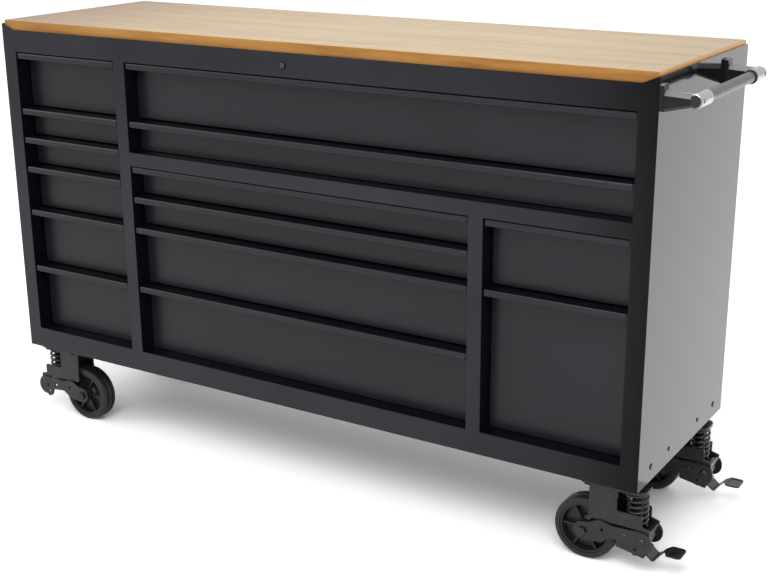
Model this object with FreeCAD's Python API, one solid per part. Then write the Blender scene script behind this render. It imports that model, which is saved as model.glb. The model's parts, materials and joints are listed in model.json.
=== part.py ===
import FreeCAD, Part
import math
import os

# Rolling tool cabinet with a wooden worktop, fourteen drawers, a side push handle and four sprung casters.
# Millimetres, Z up. While drawing, X = 0 is the middle of the carcass, Y = 0 its front face, Z = 0 the floor.

V = FreeCAD.Vector
PARTS = "parts"

# Carcass
cabinet_width = 1524.0
cabinet_depth = 460.0
carcass_bottom = 180.0
carcass_height = 751.7
sheet = 1.2

# Worktop: a board let in between the side walls, standing a little above them
worktop_thickness = 25.0
worktop_proud = 7.5
worktop_side_gap = 2.3
worktop_front_setback = 4.8
worktop_back_setback = 0.7
worktop_edge_radius = 2.0

# Front frame
frame_depth = 36.0
stile_width = 35.5
mullion_width = 30.0
side_column_opening = 286.5
bottom_rail = 47.0
top_rail = 47.8
mid_rail = 29.0
front_lip = 5.1
horn_run = 30.0

# Drawer stacks, from the top down; the last drawer of a stack takes what is left
left_heights = (123.5, 65.0, 67.0, 100.5, 133.5)
upper_heights = (123.0,)
centre_heights = (66.0, 68.0, 134.5)
right_heights = (134.0,)
upper_stack_height = 192.0

# Drawer fronts: one folded sheet, face at the back and pull lip at the front
pull_clearance = 1.5
face_end_gap = 4.25
face_setback = 35.0
lip_setback = 1.5
lip_height = 14.0
lip_hem = 5.0
lip_bend = 4.5
face_bend = 2.5

# Drawer trays and their two-member slides
tray_sheet = 1.0
tray_floor_lift = 4.0
tray_wall_drop = 10.0
tray_hem = 6.0
tray_bend = 2.0
slide_thickness = 12.7
slide_height = 35.0
slide_length = 385.0
slide_start = 55.0
slide_sheet = 1.6
slide_gap = 0.3
slide_lift = 4.5
outer_slide_depth = 10.0

# Inside structure
post_width = 30.0
post_inset = 115.0
divider_rear_gap = 1.2
channel_top_width = 50.0
channel_flange = 30.0
channel_height = 25.0
channel_bend = 3.0

# Lock on the top rail
lock_x = 0.0
lock_drop = 24.9
lock_collar_radius = 8.0
lock_collar_proud = 2.5
lock_collar_round = 1.0
lock_barrel_radius = 6.8
lock_barrel_length = 22.0
lock_hole_gap = 0.1
lock_plug_radius = 5.5
lock_plug_recess = 0.5
lock_fit = 0.06
key_slot_width = 1.6
key_slot_height = 6.5
key_slot_depth = 4.0
lock_cam_length = 15.0
lock_cam_width = 8.0
lock_cam_thickness = 2.0
lock_cam_round = 2.0

# Push handle on the right side; heights are taken down from the top of the side wall
handle_axis_reach = 59.5
handle_axis_drop = 36.2
handle_length = 349.0
handle_plate_thickness = 7.0
handle_plate_top_drop = 12.7
handle_plate_height = 45.3
handle_plate_round = 3.0
handle_arm_width = 23.0
handle_arm_inset = 1.0
arm_foot_above = 13.5
arm_foot_below = 21.7
arm_tip_half = 11.0
arm_upper_facet = 7.8
arm_lower_facet = 4.5
arm_facet_slope = 0.75
handle_cap_radius = 13.0
handle_cap_end = 56.0
handle_cap_rounding = 4.0
handle_seat_depth = 7.0
handle_socket_depth = 20.0
handle_screw_radius = 2.5
handle_screw_reach = 12.0
handle_screw_head_radius = 4.0
handle_screw_head_seat = 9.0
handle_screw_head_height = 3.6
grip_radius = 10.3
grip_wall = 1.5
grip_ring_radius = 12.2
grip_ring_length = 4.0

# Round-headed screws along the foot of each side wall, two large ones outside two small ones
side_screw_large = 6.3
side_screw_small = 4.5
side_screw_proud = 1.6
side_screw_bevel = 0.8
side_screw_lift = 28.0
side_screw_front_insets = (65.0, 156.0)
side_screw_rear_insets = (52.5, 145.5)

# Casters: distances along "out" run from the wheel centre towards the near end of the cabinet
right_wheel_inset = 115.0
left_wheel_inset = 125.0
caster_front_y = 57.0
caster_rear_inset = 64.0
wheel_radius = 62.5
wheel_width = 38.0
tyre_thickness = 11.0
tyre_shoulder = 6.0
tread_groove_width = 4.0
tread_groove_depth = 3.0
tread_groove_offset = 7.0
rim_thickness = 5.0
rim_width = 34.0
rib_count = 6
rib_thickness = 4.0
rib_setback = 3.0
wheel_web_thickness = 8.0
web_foot_run = 6.0
web_rim_run = 4.0
hub_radius = 15.0
hub_taper = 2.0
boss_stand = 1.0
sleeve_wall = 4.0
axle_radius = 6.0
running_fit = 0.06
side_gap = 0.4

mount_plate_size = 100.0
mount_plate_thickness = 6.0
mount_plate_round = 8.0
mount_bolt_spacing = 75.0
mount_bolt_radius = 5.0
mount_hole_radius = 5.3
mount_centre_out = 50.0
bolt_head_radius = 9.0
bolt_head_height = 6.0
bolt_nut_height = 8.0
bolt_end = 2.0
race_radius = 30.0
race_bore = 22.0
kingpin_radius = 8.0
kingpin_head_radius = 13.0
kingpin_head_height = 5.0

yoke_plate = 4.0
yoke_inner_half = 22.5
yoke_top_gap = 8.0
yoke_top_thickness = 6.0
yoke_leg_in = 10.0
yoke_leg_out = 66.0
yoke_leg_foot_z = 93.0
yoke_leg_round = 6.0
yoke_foot_out = 116.0
yoke_foot_bottom = 92.0
yoke_foot_top = 120.0
yoke_foot_top_round = 4.0
plate_round = 2.0
lug_shoulder_round = 3.0
spring_plate_round = 18.0
bump_stop_radius = 11.0
bump_stop_clearance = 12.0
droop_stop_out = 5.0

pivot_out = 118.0
pivot_z = 69.0
pivot_pin_radius = 5.0
pivot_tube_radius = 11.0
lug_radius = 14.0
pin_head_radius = 8.0
pin_head_height = 3.0
axle_hexagon = 17.0
axle_head_height = 5.0
axle_nut_height = 8.0
axle_end = 2.0

# Swinging arm, seen from the side: named corners as (distance out, height)
arm_plate = 3.5
arm_inner_half = 27.0
arm_hub_radius = 17.0
arm_pivot_radius = 20.0
arm_shoulder = (12.0, 83.5)
arm_crown = (33.0, 94.0)
arm_saddle = (61.0, 88.5)
arm_brow = (104.0, 90.0)
arm_heel = (115.0, 45.0)
arm_ear_outer = (107.0, 39.0)
arm_ear_inner = (97.0, 47.0)
arm_waist_outer = (93.0, 60.5)
arm_waist_inner = (58.0, 63.5)
arm_belly = (38.0, 49.0)
arm_chin = (7.5, 46.5)
arm_bend = 10.0
arm_long_bend = 20.0
arm_small_bend = 3.0
arm_front_hole = (40.0, 75.0)
arm_ear_hole = (107.0, 53.0)
arm_hole_radius = 3.0
seat_z = 85.0
seat_thickness = 3.0
seat_in = 68.0
wide_seat = (72.0, 100.0)
seat_tongue_gap = 0.7
seat_flange_drop = 19.0

spring_out = 97.0
spring_radius = 18.2
spring_wire_radius = 3.25
spring_turns = 6.0
spring_end_gap = 0.25

# Brake pedal, seen from the side: named corners as (distance out, height)
brake_pin = (84.0, 73.0)
brake_pin_radius = 4.0
brake_pin_head_radius = 6.0
brake_pin_head_height = 2.0
pedal_plate = 3.0
pedal_outer_half = 21.0
pedal_boss = 8.0
pedal_shoe_foot = (65.5, 44.0)
pedal_shoe_top = (65.5, 58.0)
pedal_keel = (88.0, 40.0)
pedal_toe = (121.0, 33.5)
pedal_nose = (126.0, 43.5)
pedal_brow = (114.5, 52.0)
pedal_collar = (99.0, 64.0)
pedal_hole = (106.0, 52.0)
pedal_hole_radius = 2.0
pedal_bend = 5.0
pedal_apron_top = (115.5, 52.0)
pedal_valley = (138.0, 33.5)
tread_z = 52.5
tread_start = 155.0
tread_wide_from = 163.0
tread_end = 190.0
tread_half = 20.0
tread_round = 8.0
tread_dish = 1.2
tread_rim = 4.0
neck_half = 5.0
neck_from = 148.0
apron_end = 141.0

# Sizes that follow from the ones above
half_width = cabinet_width / 2
side_inner = half_width - sheet
side_top = carcass_bottom + carcass_height
worktop_top = side_top + worktop_proud
worktop_bottom = worktop_top - worktop_thickness
deck_bottom = worktop_bottom - sheet
rail_top = worktop_bottom + front_lip
opening_top = rail_top - top_rail
opening_bottom = carcass_bottom + bottom_rail
opening_edge = half_width - stile_width
left_opening = (-opening_edge, -opening_edge + side_column_opening)
wide_opening = (left_opening[1] + mullion_width, opening_edge)
right_opening = (opening_edge - side_column_opening, opening_edge)
centre_opening = (wide_opening[0], right_opening[0] - mullion_width)
shelf_top = opening_top - upper_stack_height
shelf_bottom = shelf_top - mid_rail
inner_back = cabinet_depth - sheet
lock_z = rail_top - lock_drop
handle_axis_x = half_width + handle_axis_reach
handle_axis_z = side_top - handle_axis_drop
handle_seat_x = handle_axis_x - handle_seat_depth
wheel_centre_right = half_width - right_wheel_inset
wheel_centre_left = half_width - left_wheel_inset
caster_rear_y = cabinet_depth - caster_rear_inset
mount_plate_bottom = carcass_bottom - mount_plate_thickness
yoke_top_z = mount_plate_bottom - yoke_top_gap
yoke_outer_half = yoke_inner_half + yoke_plate
arm_outer_half = arm_inner_half + arm_plate
spring_top_z = yoke_top_z - yoke_top_thickness

# The part is moved on export so that its origin lies under the middle of its bounding box, on the floor
reach_right = handle_axis_x + handle_cap_radius
reach_left = wheel_centre_left + pivot_out + arm_pivot_radius
origin_x = (reach_right - reach_left) / 2
origin_y = (cabinet_depth - lock_collar_proud) / 2


def save(name, *solids):
    """Write one named node; several solids become a group."""
    plain = [solid for shape in solids for solid in shape.Solids]
    shape = plain[0] if len(plain) == 1 else Part.makeCompound(plain)
    shape = shape.copy()
    shape.translate(V(-origin_x, -origin_y, 0))
    shape.exportStep(os.path.join(PARTS, name + ".step"))


def box(x, y, z):
    """Block between two limits along each axis."""
    return Part.makeBox(x[1] - x[0], y[1] - y[0], z[1] - z[0], V(x[0], y[0], z[0]))


def rod(axis, centre, radius, start, end):
    """Round bar along X, Y or Z; centre holds the other two coordinates in order."""
    base = {"x": V(start, *centre), "y": V(centre[0], start, centre[1]), "z": V(*centre, start)}[axis]
    direction = {"x": V(1, 0, 0), "y": V(0, 1, 0), "z": V(0, 0, 1)}[axis]
    return Part.makeCylinder(radius, end - start, base, direction)


def fuse(first, *others):
    """Union with merged coplanar faces."""
    return first.multiFuse(list(others)).removeSplitter()


def cut(body, *tools):
    """Difference of a body and several tools."""
    return body.cut(tools) if tools else body


def rounded_outline(corners):
    """Closed outline through corners (u, v) or (u, v, radius), each with a radius turned by an arc."""
    points = [V(c[0], c[1], 0) for c in corners]
    radii = [c[2] if len(c) > 2 else 0.0 for c in corners]
    count = len(points)
    entries = []
    for i, corner in enumerate(points):
        before = (points[i - 1] - corner).normalize()
        after = (points[(i + 1) % count] - corner).normalize()
        if not radii[i]:
            entries.append((corner, None, corner))
            continue
        half = before.getAngle(after) / 2
        run = radii[i] / math.tan(half)
        bisector = (before + after).normalize()
        middle = corner + bisector * (radii[i] / math.sin(half) - radii[i])
        entries.append((corner + before * run, middle, corner + after * run))
    edges = []
    for i, (start, middle, end) in enumerate(entries):
        if middle is not None:
            edges.append(Part.Arc(start, middle, end).toShape())
        following = entries[(i + 1) % count][0]
        if end.distanceToPoint(following) > 1e-6:
            edges.append(Part.makeLine(end, following))
    return Part.Wire(edges)


def extrude(corners, axis, start, end):
    """Solid with the given outline: (y, z) along x, (x, z) along y, or (x, y) along z."""
    face = Part.Face(rounded_outline(corners))
    turn = {
        "x": FreeCAD.Placement(V(start, 0, 0), FreeCAD.Rotation(V(0, 1, 0), V(0, 0, 1), V(1, 0, 0), "XYZ")),
        "y": FreeCAD.Placement(V(0, start, 0), FreeCAD.Rotation(V(1, 0, 0), V(0, 0, 1), V(0, -1, 0), "XYZ")),
        "z": FreeCAD.Placement(V(0, 0, start), FreeCAD.Rotation()),
    }[axis]
    face.Placement = turn
    length = {"x": V(end - start, 0, 0), "y": V(0, end - start, 0), "z": V(0, 0, end - start)}[axis]
    return face.extrude(length)


def folded_sheet(path, thickness, bends, axis, start, end):
    """Folded sheet whose left-hand surface follows an open path of right-angled bends.

    bends gives the outer radius of each inner corner of the path; the other surface lies a thickness to the right."""
    points = [V(u, v, 0) for u, v in path]
    ways = [(b - a).normalize() for a, b in zip(points, points[1:])]
    right = [V(w.y, -w.x, 0) for w in ways]
    outer = [(points[0].x, points[0].y)]
    inner = [points[0] + right[0] * thickness]
    for i, radius in enumerate(bends):
        corner = points[i + 1]
        turns_right = ways[i].cross(ways[i + 1]).z < 0
        left_radius = radius if turns_right else radius - thickness
        right_radius = radius - thickness if turns_right else radius
        outer.append((corner.x, corner.y, left_radius))
        shifted = corner + (right[i] + right[i + 1]) * thickness
        inner.append((shifted.x, shifted.y, right_radius))
    last = points[-1] + right[-1] * thickness
    outer.append((points[-1].x, points[-1].y))
    back = [(last.x, last.y)] + inner[:0:-1] + [(inner[0].x, inner[0].y)]
    return extrude(outer + back, axis, start, end)


# Carcass


def side_panel(sign):
    """Side wall: a plain sheet beside the folded front frame, standing up past the board."""
    return box(sorted((side_inner * sign, half_width * sign)), (sheet, cabinet_depth), (carcass_bottom, side_top))


def front_frame():
    """Folded face frame: rails, stiles and mullions as channels open to the back."""
    openings = [
        (left_opening, (opening_bottom, opening_top)),
        (wide_opening, (shelf_top, opening_top)),
        (centre_opening, (opening_bottom, shelf_bottom)),
        (right_opening, (opening_bottom, shelf_bottom)),
    ]
    horn_foot = half_width - horn_run - sheet
    face = extrude(
        [(-half_width, carcass_bottom), (half_width, carcass_bottom), (half_width, side_top),
         (side_inner, side_top), (horn_foot, rail_top), (-horn_foot, rail_top),
         (-side_inner, side_top), (-half_width, side_top)],
        "y", 0, sheet)
    body = box((-side_inner, side_inner), (sheet, frame_depth), (carcass_bottom, deck_bottom))
    hollow = box((-side_inner + sheet, side_inner - sheet), (sheet, frame_depth),
                 (carcass_bottom + sheet, deck_bottom - sheet))
    walls = [box((x[0] - sheet, x[1] + sheet), (sheet, frame_depth), (z[0] - sheet, z[1] + sheet))
             for x, z in openings]
    hollow = cut(hollow, *walls)
    frame = fuse(face, cut(body, hollow))
    holes = [box(x, (0, frame_depth), z) for x, z in openings]
    holes.append(rod("y", (lock_x, lock_z), lock_barrel_radius + lock_hole_gap, 0, sheet))
    holes += [rod("z", place, mount_hole_radius, carcass_bottom, carcass_bottom + sheet)
              for place in mount_bolt_places() if bolt_is_under_frame(place)]
    return cut(frame, *holes)


def back_panel():
    """Rear sheet between the side walls, below the deck."""
    return box((-side_inner, side_inner), (inner_back, cabinet_depth), (carcass_bottom, deck_bottom))


def top_deck():
    """Steel deck that carries the wooden board."""
    return box((-side_inner, side_inner), (sheet, cabinet_depth), (deck_bottom, worktop_bottom))


def caster_channel(centre_x):
    """Top-hat channel welded across the floor over a pair of casters."""
    half_top = channel_top_width / 2
    half_all = half_top + channel_flange
    floor = carcass_bottom + sheet
    crown = floor + channel_height
    outline = [
        (centre_x - half_all, floor), (centre_x - half_top + sheet, floor),
        (centre_x - half_top + sheet, crown - sheet), (centre_x + half_top - sheet, crown - sheet),
        (centre_x + half_top - sheet, floor), (centre_x + half_all, floor),
        (centre_x + half_all, floor + sheet), (centre_x + half_top, floor + sheet),
        (centre_x + half_top, crown, channel_bend), (centre_x - half_top, crown, channel_bend),
        (centre_x - half_top, floor + sheet), (centre_x - half_all, floor + sheet),
    ]
    return extrude(outline, "y", frame_depth, inner_back)


def mount_bolt_places():
    """Centres of the sixteen caster bolts."""
    half = mount_bolt_spacing / 2
    places = []
    for centre_x in caster_mount_centres():
        for centre_y in (caster_front_y, caster_rear_y):
            places += [(centre_x + dx, centre_y + dy) for dx in (-half, half) for dy in (-half, half)]
    return places


def bolt_is_under_frame(place):
    """True for a caster bolt that passes through the face frame instead of the floor sheet."""
    return place[1] - mount_bolt_radius < frame_depth


def caster_mount_centres():
    """X of the caster mounting plates, left then right."""
    return (-wheel_centre_left - mount_centre_out, wheel_centre_right + mount_centre_out)


def floor_pan():
    """Bottom sheet with two channels over the casters, drilled for their bolts."""
    pan = box((-side_inner, side_inner), (frame_depth, inner_back), (carcass_bottom, carcass_bottom + sheet))
    channels = [caster_channel(x) for x in caster_mount_centres()]
    floor = fuse(pan, *channels)
    holes = [rod("z", place, mount_hole_radius, carcass_bottom, carcass_bottom + 2 * sheet)
             for place in mount_bolt_places() if not bolt_is_under_frame(place)]
    return cut(floor, *holes)


def divider(opening_left, opening_right, top):
    """Upright channel behind a mullion, open to the back, that carries slides on both faces."""
    middle = (opening_left + opening_right) / 2
    half = (opening_right - opening_left) / 2
    floor = carcass_bottom + sheet
    back = inner_back - divider_rear_gap
    outer = box((middle - half, middle + half), (frame_depth, back), (floor, top))
    inner = box((middle - half + sheet, middle + half - sheet), (frame_depth + sheet, back), (floor, top))
    return cut(outer, inner)


def mid_shelf():
    """Partition under the two wide drawers: a sheet with its front and back edges folded down."""
    back = inner_back - divider_rear_gap
    drop = shelf_bottom
    path = [(frame_depth, drop), (frame_depth, shelf_top), (back, shelf_top), (back, drop)]
    return folded_sheet(path, sheet, [face_bend, face_bend], "x", wide_opening[0], wide_opening[1])


def slide_posts():
    """Four upright channels on the floor channels' flanges, level with the stiles, that carry the outer slides."""
    posts = []
    floor = carcass_bottom + 2 * sheet
    for sign in (-1, 1):
        for front in (post_inset, cabinet_depth - post_inset - post_width):
            outer = box(sorted((opening_edge * sign, side_inner * sign)), (front, front + post_width),
                        (floor, deck_bottom))
            inner = box(sorted(((opening_edge + sheet) * sign, side_inner * sign)),
                        (front + sheet, front + post_width - sheet), (floor, deck_bottom))
            posts.append(cut(outer, inner))
    return posts


def worktop():
    """Wooden board with eased top edges."""
    half = side_inner - worktop_side_gap
    board = box((-half, half), (worktop_front_setback, cabinet_depth - worktop_back_setback),
                (worktop_bottom, worktop_top))
    edges = [e for e in board.Edges if e.BoundBox.ZMin > worktop_top - 0.1 or e.BoundBox.ZLength > 1]
    return board.makeFillet(worktop_edge_radius, edges)


# Drawers


def stack(top, bottom, heights):
    """Slots of one stack from the top down, each as (bottom, top)."""
    slots = []
    for height in heights:
        slots.append((top - height, top))
        top -= height
    slots.append((bottom, top))
    return slots


def slide_level(slot):
    """Height of the lower edge of a drawer's slides."""
    return slot[0] + pull_clearance + tray_floor_lift + slide_lift


def outer_slide(edge, inward, level):
    """Fixed slide member: a channel with turned lips, open towards the drawer."""
    deep = edge + outer_slide_depth * inward
    wall = edge + slide_sheet * inward
    low = level
    high = level + slide_height
    lip = slide_sheet * 2
    outline = [
        (edge, low), (deep, low), (deep, low + lip), (deep - slide_sheet * inward, low + lip),
        (deep - slide_sheet * inward, low + slide_sheet), (wall, low + slide_sheet),
        (wall, high - slide_sheet), (deep - slide_sheet * inward, high - slide_sheet),
        (deep - slide_sheet * inward, high - lip), (deep, high - lip), (deep, high), (edge, high),
    ]
    return extrude(outline, "y", slide_start, slide_start + slide_length)


def inner_slide(edge, inward, level):
    """Moving slide member: a channel fixed to the tray, running between the flanges of the fixed one."""
    tray_face = edge + slide_thickness * inward
    web = tray_face - slide_sheet * inward
    tip = edge + (slide_sheet + slide_gap + 1.0) * inward
    neck_low = level + 2 * slide_sheet + slide_gap
    neck_high = level + slide_height - 2 * slide_sheet - slide_gap
    head_low = level + slide_sheet + slide_gap
    head_high = level + slide_height - slide_sheet - slide_gap
    shoulder = edge + (outer_slide_depth - slide_sheet - slide_gap) * inward
    outline = [
        (tray_face, neck_low), (shoulder, neck_low), (shoulder, head_low), (tip, head_low),
        (tip, neck_low + slide_sheet), (web, neck_low + slide_sheet), (web, neck_high - slide_sheet),
        (tip, neck_high - slide_sheet), (tip, head_high), (shoulder, head_high), (shoulder, neck_high),
        (tray_face, neck_high),
    ]
    return extrude(outline, "y", slide_start, slide_start + slide_length)


def drawer_front(opening, slot):
    """Face, pull shelf and lip folded from one sheet."""
    low = slot[0] + pull_clearance
    high = slot[1] - pull_clearance
    face_back = face_setback + sheet
    path = [(lip_setback + lip_hem, high - lip_height), (lip_setback, high - lip_height),
            (lip_setback, high), (face_back, high), (face_back, low)]
    return folded_sheet(path, sheet, [face_bend, lip_bend, face_bend], "x",
                        opening[0] + face_end_gap, opening[1] - face_end_gap)


def folded_sheet_mirrored(path, thickness, bends, start, end):
    """Folded sheet along Y whose material lies to the left of the path."""
    mirrored = [(-u, v) for u, v in path]
    shape = folded_sheet(mirrored, thickness, bends, "y", start, end)
    return shape.mirror(V(0, 0, 0), V(1, 0, 0))


def drawer_tray(opening, slot):
    """Floor and side walls folded from one sheet, hemmed along the top, with a rear wall and an inner front."""
    floor = slot[0] + pull_clearance + tray_floor_lift
    rim = slot[1] - pull_clearance - tray_wall_drop
    left = opening[0] + slide_thickness
    right = opening[1] - slide_thickness
    front = face_setback + sheet
    back = slide_start + slide_length
    path = [(left + tray_hem, rim), (left, rim), (left, floor), (right, floor), (right, rim), (right - tray_hem, rim)]
    bends = [tray_bend] * 4
    channel = folded_sheet_mirrored(path, tray_sheet, bends, front, back)
    rear = box((left, right), (back, back + tray_sheet), (floor, rim))
    return [channel, rear]


def drawer(opening, slot):
    """One drawer with the moving members of its slides."""
    level = slide_level(slot)
    slides = [inner_slide(opening[0], 1, level), inner_slide(opening[1], -1, level)]
    return [drawer_front(opening, slot)] + drawer_tray(opening, slot) + slides


def drawer_stacks():
    """Every drawer as (name, opening, slot)."""
    stacks = (
        ("left", left_opening, stack(opening_top, opening_bottom, left_heights)),
        ("upper", wide_opening, stack(opening_top, shelf_top, upper_heights)),
        ("centre", centre_opening, stack(shelf_bottom, opening_bottom, centre_heights)),
        ("right", right_opening, stack(shelf_bottom, opening_bottom, right_heights)),
    )
    return [(f"drawer_{name}_{number}", opening, slot)
            for name, opening, slots in stacks for number, slot in enumerate(slots, 1)]


# Lock


def lock_housing():
    """Turned collar and barrel let into the top rail."""
    collar = rod("y", (lock_x, lock_z), lock_collar_radius, -lock_collar_proud, 0)
    face_edges = [e for e in collar.Edges if e.BoundBox.YMax < -lock_collar_proud + 0.1]
    collar = collar.makeFillet(lock_collar_round, face_edges)
    barrel = rod("y", (lock_x, lock_z), lock_barrel_radius, 0, lock_barrel_length)
    bore = rod("y", (lock_x, lock_z), lock_plug_radius + lock_fit, -lock_collar_proud, lock_barrel_length)
    return cut(fuse(collar, barrel), bore)


def lock_cylinder():
    """Plug with its key slot in front and its cam behind the barrel."""
    front = -lock_collar_proud + lock_plug_recess
    back = lock_barrel_length + slide_gap
    plug = rod("y", (lock_x, lock_z), lock_plug_radius, front, back)
    slot = box((lock_x - key_slot_width / 2, lock_x + key_slot_width / 2), (front, front + key_slot_depth),
               (lock_z - key_slot_height / 2, lock_z + key_slot_height / 2))
    half = lock_cam_width / 2
    tip = lock_x - lock_cam_length
    cam = extrude([(tip, lock_z - half, lock_cam_round), (lock_x + half, lock_z - half, lock_cam_round),
                   (lock_x + half, lock_z + half, lock_cam_round), (tip, lock_z + half, lock_cam_round)],
                  "y", back, back + lock_cam_thickness)
    return cut(fuse(plug, cam), slot)


# Push handle, drawn at its near end and mirrored to the far one


def faceted_section(x, y, z):
    """Eight-sided outline of a handle arm at one distance from the wall."""
    upper = arm_upper_facet
    lower = arm_lower_facet
    upper_run = upper * arm_facet_slope
    lower_run = lower * arm_facet_slope
    corners = [
        (y[0], z[0] + lower), (y[0], z[1] - upper), (y[0] + upper_run, z[1]), (y[1] - upper_run, z[1]),
        (y[1], z[1] - upper), (y[1], z[0] + lower), (y[1] - lower_run, z[0]), (y[0] + lower_run, z[0]),
    ]
    points = [V(x, v, w) for v, w in corners]
    return Part.makePolygon(points + points[:1])


def handle_bracket():
    """Cast bracket: wall plate and tapering faceted arm, drilled for the cap's screw."""
    plate_out = half_width + handle_plate_thickness
    plate_top = side_top - handle_plate_top_drop
    plate_bottom = plate_top - handle_plate_height
    plate = extrude([(0, plate_bottom, handle_plate_round), (handle_arm_width, plate_bottom, handle_plate_round),
                     (handle_arm_width, plate_top, handle_plate_round), (0, plate_top, handle_plate_round)],
                    "x", half_width, plate_out)
    y = (handle_arm_inset, handle_arm_width - handle_arm_inset)
    foot = faceted_section(plate_out, y, (handle_axis_z - arm_foot_below, handle_axis_z + arm_foot_above))
    tip = faceted_section(handle_seat_x, y, (handle_axis_z - arm_tip_half, handle_axis_z + arm_tip_half))
    arm = Part.makeLoft([foot, tip], True, True)
    screw_hole = rod("x", (handle_arm_width / 2, handle_axis_z), handle_screw_radius + running_fit,
                     handle_seat_x - handle_screw_reach, handle_seat_x)
    return cut(fuse(plate, arm), screw_hole)


def handle_cap():
    """Bright cap: rounded outer end, flat seat on the arm, counterbored screw hole and a socket for the grip."""
    axis = (handle_axis_x, handle_axis_z)
    middle = (handle_arm_width / 2, handle_axis_z)
    cap = rod("y", axis, handle_cap_radius, handle_arm_inset, handle_cap_end)
    end_edges = [e for e in cap.Edges if e.BoundBox.YMax < handle_arm_inset + 0.1]
    cap = cap.makeFillet(handle_cap_rounding, end_edges)
    head_seat = handle_axis_x + handle_screw_head_seat
    outside = handle_axis_x + handle_cap_radius
    seat = box((handle_axis_x - handle_cap_radius, handle_seat_x), (0, handle_arm_width - handle_arm_inset),
               (handle_axis_z - handle_cap_radius, handle_axis_z + handle_cap_radius))
    socket = rod("y", axis, grip_radius + slide_gap, handle_cap_end - handle_socket_depth, handle_cap_end)
    bore = rod("x", middle, handle_screw_radius + slide_gap, handle_seat_x, head_seat)
    counterbore = rod("x", middle, handle_screw_head_radius + slide_gap, head_seat, outside)
    return cut(cap, seat, socket, bore, counterbore)


def handle_screw():
    """Screw through a cap into its arm."""
    middle = (handle_arm_width / 2, handle_axis_z)
    head_seat = handle_axis_x + handle_screw_head_seat
    shank = rod("x", middle, handle_screw_radius, handle_seat_x - handle_screw_reach, head_seat)
    head = rod("x", middle, handle_screw_head_radius, head_seat, head_seat + handle_screw_head_height)
    return fuse(shank, head)


def grip_ring():
    """Dark ring on the grip against the cap."""
    axis = (handle_axis_x, handle_axis_z)
    end = handle_cap_end + grip_ring_length
    return cut(rod("y", axis, grip_ring_radius, handle_cap_end, end),
               rod("y", axis, grip_radius + running_fit, handle_cap_end, end))


def handle_grip():
    """Tube let into both caps."""
    axis = (handle_axis_x, handle_axis_z)
    start = handle_cap_end - handle_socket_depth + slide_gap
    end = handle_length - start
    return cut(rod("y", axis, grip_radius, start, end), rod("y", axis, grip_radius - grip_wall, start, end))


def at_both_handle_ends(solid):
    """A piece of the near end with its mirror image at the far end."""
    return [solid, solid.mirror(V(0, handle_length / 2, 0), V(0, 1, 0))]


def handle():
    """Brackets, caps, screws, rings and grip of the push handle."""
    save("handle_brackets", *at_both_handle_ends(handle_bracket()))
    save("handle_caps", *at_both_handle_ends(handle_cap()))
    save("handle_screws", *at_both_handle_ends(handle_screw()))
    save("handle_rings", *at_both_handle_ends(grip_ring()))
    save("handle_grip", handle_grip())


def side_screw_places():
    """Each screw of a side wall as (y, radius)."""
    sizes = (side_screw_large, side_screw_small)
    front = list(zip(side_screw_front_insets, sizes))
    rear = [(cabinet_depth - inset, radius) for inset, radius in zip(side_screw_rear_insets, sizes)]
    return front + rear


def side_screw_heads():
    """Domed heads along the foot of both side walls."""
    heads = []
    z = carcass_bottom + side_screw_lift
    for sign in (-1, 1):
        for y, radius in side_screw_places():
            head = rod("x", (y, z), radius, *sorted((half_width * sign, (half_width + side_screw_proud) * sign)))
            outer = half_width + side_screw_proud
            edges = [e for e in head.Edges if min(abs(e.BoundBox.XMin), abs(e.BoundBox.XMax)) > outer - 0.1]
            heads.append(head.makeChamfer(side_screw_bevel, edges))
    return heads


# Casters, drawn with X outward from the wheel centre and Y = 0 in the middle


def caster_tyre():
    """Ring with rounded shoulders and two tread grooves."""
    half = wheel_width / 2
    bore = wheel_radius - tyre_thickness
    groove = tread_groove_width / 2
    floor = wheel_radius - tread_groove_depth
    outline = [(bore, -half), (wheel_radius, -half, tyre_shoulder)]
    for middle in (-tread_groove_offset, tread_groove_offset):
        outline += [(wheel_radius, middle - groove), (floor, middle - groove),
                    (floor, middle + groove), (wheel_radius, middle + groove)]
    outline += [(wheel_radius, half, tyre_shoulder), (bore, half)]
    return turned_about_axle(outline)


def turned_about_axle(outline):
    """Revolve (radius, y) points about the wheel axle."""
    face = Part.Face(rounded_outline(outline))
    solid = face.revolve(V(0, 0, 0), V(0, 1, 0), 360)
    solid.translate(V(0, 0, wheel_radius))
    return solid


def caster_hub():
    """Moulded wheel centre: rim, closed dished web stiffened by radial ribs, and a boss for the axle."""
    rim_out = wheel_radius - tyre_thickness
    rim_in = rim_out - rim_thickness
    half_rim = rim_width / 2
    half_boss = half_rim + boss_stand
    half_web = wheel_web_thickness / 2
    bore = axle_radius + running_fit
    boss_end = hub_radius - hub_taper
    web_in = hub_radius + web_foot_run
    web_out = rim_in - web_rim_run
    foot = half_web + web_rim_run
    outline = [
        (bore, -half_boss), (boss_end, -half_boss), (hub_radius, -foot), (web_in, -half_web),
        (web_out, -half_web), (rim_in, -half_rim), (rim_out, -half_rim),
        (rim_out, half_rim), (rim_in, half_rim), (web_out, half_web),
        (web_in, half_web), (hub_radius, foot), (boss_end, half_boss), (bore, half_boss),
    ]
    depth = half_rim - rib_setback
    rib = box((boss_end, rim_in + rim_thickness / 2), (-depth, depth), (-rib_thickness / 2, rib_thickness / 2))
    ribs = []
    for i in range(rib_count):
        turned = rib.copy()
        turned.rotate(V(0, 0, 0), V(0, 1, 0), 360.0 * i / rib_count)
        turned.translate(V(0, 0, wheel_radius))
        ribs.append(turned)
    return fuse(turned_about_axle(outline), *ribs)


def both_sides(outline, inner_half, thickness):
    """The same plate on each side of the wheel."""
    return [extrude(outline, "y", inner_half, inner_half + thickness),
            extrude(outline, "y", -inner_half - thickness, -inner_half)]


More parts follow.
